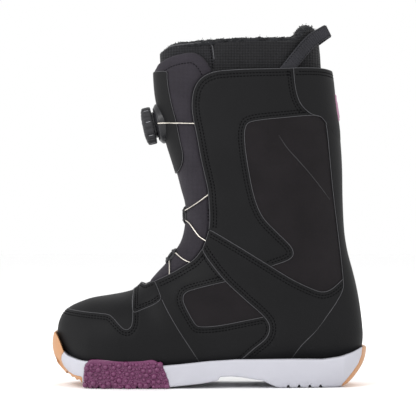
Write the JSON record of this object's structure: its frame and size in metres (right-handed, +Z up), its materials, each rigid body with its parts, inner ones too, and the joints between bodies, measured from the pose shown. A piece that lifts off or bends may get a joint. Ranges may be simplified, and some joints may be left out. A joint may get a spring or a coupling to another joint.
{
  "type": "snowboard boot",
  "caption": "Left snowboard boot with a stitched soft shell, a removable-style fleece-lined liner, and a dial on the tongue that winds a cable lace.",
  "frame": {"origin": "centre of the bounding box's footprint, on the ground", "axes": "+Z up, -X towards the toe, -Y towards the outer side of the foot"},
  "size_m": [0.3014, 0.1154, 0.3451],
  "materials": {
    "synthetic_leather": "matte grained black synthetic leather",
    "softshell_fabric": "finely woven black fabric",
    "tongue_fabric": "dark grey woven fabric",
    "dial_plastic": "moulded black nylon",
    "dial_rubber": "soft black rubber",
    "steel": "plain steel",
    "lace_cable": "coated steel cable",
    "sole_foam": "white moulded foam",
    "gum_rubber": "smooth gum rubber",
    "plum_rubber": "pebbled plum rubber",
    "liner_fabric": "black laminated foam fabric",
    "footbed_fabric": "black brushed fabric",
    "fleece": "black fleece pile",
    "webbing": "ribbed black webbing",
    "stiffener_board": "fibre board",
    "badge_print": "mauve printed patch"
  },
  "bodies": {
    "shell": {"backstay": "synthetic_leather", "collar_yoke": "synthetic_leather", "cuff_inner": "synthetic_leather", "cuff_outer": "synthetic_leather", "cuff_window_inner": "softshell_fabric", "cuff_window_outer": "softshell_fabric", "footbed": "footbed_fabric", "forefoot_grip": "plum_rubber", "heel_badge": "badge_print", "heel_bumper": "gum_rubber", "heel_counter": "stiffener_board", "lace": "lace_cable", "lasting_board": "stiffener_board", "liner_body": "liner_fabric", "liner_flap": "liner_fabric", "liner_fleece_collar": "fleece", "lower_quarter_guide_inner": "dial_plastic", "lower_quarter_guide_outer": "dial_plastic", "middle_quarter_guide_inner": "dial_plastic", "middle_quarter_guide_outer": "dial_plastic", "midfoot_quarter_inner": "synthetic_leather", "midfoot_quarter_outer": "synthetic_leather", "midfoot_window_inner": "softshell_fabric", "midfoot_window_outer": "softshell_fabric", "midsole": "sole_foam", "rear_quarter_inner": "synthetic_leather", "rear_quarter_outer": "synthetic_leather", "throat_saddle": "synthetic_leather", "toe_bumper": "gum_rubber", "toe_cap": "synthetic_leather", "toe_puff": "stiffener_board", "upper_quarter_guide_inner": "dial_plastic", "upper_quarter_guide_outer": "dial_plastic", "vamp": "synthetic_leather"},
    "tongue": {"tongue": "tongue_fabric", "tongue_pad": "synthetic_leather", "upper_tongue_guide": "dial_rubber", "lower_tongue_guide": "dial_rubber", "dial_base": "dial_plastic", "dial_housing": "dial_plastic", "dial_axle": "steel"},
    "lace_spool": {"lace_spool": "dial_plastic"},
    "dial_hub": {"dial_hub": "steel"},
    "dial_knob": {"dial_knob": "dial_plastic", "dial_grip": "dial_rubber", "dial_cap": "dial_rubber"},
    "pull_loop": {"pull_loop": "webbing"}
  },
  "joints": [
    {"name": "tongue_flex", "type": "hinge", "parent": "shell", "child": "tongue", "pos_m": [-0.0578, 0, 0.097], "axis": [0, -1, 0], "range_deg": [0, 18], "stiffness_Nm_per_rad": 1, "deforming": ["lace"]},
    {"name": "spool_spin", "type": "hinge", "parent": "tongue", "child": "lace_spool", "pos_m": [-0.0511, 0, 0.24957], "axis": [-0.9781, 0, -0.2079], "continuous": true},
    {"name": "dial_pull", "type": "slide", "parent": "tongue", "child": "dial_hub", "axis": [-0.9781, 0, -0.2079], "range_m": [0, 0.0045]},
    {"name": "dial_spin", "type": "hinge", "parent": "dial_hub", "child": "dial_knob", "pos_m": [-0.0511, 0, 0.24957], "axis": [-0.9781, 0, -0.2079], "continuous": true},
    {"name": "pull_loop_swing", "type": "hinge", "parent": "shell", "child": "pull_loop", "pos_m": [0.0712, 0, 0.296], "axis": [0, -1, 0], "range_deg": [-15, 8], "stiffness_Nm_per_rad": 0.08}
  ],
  "couplings": [
    {"joint": "spool_spin", "follows": "dial_spin", "ratio": 1}
  ]
}
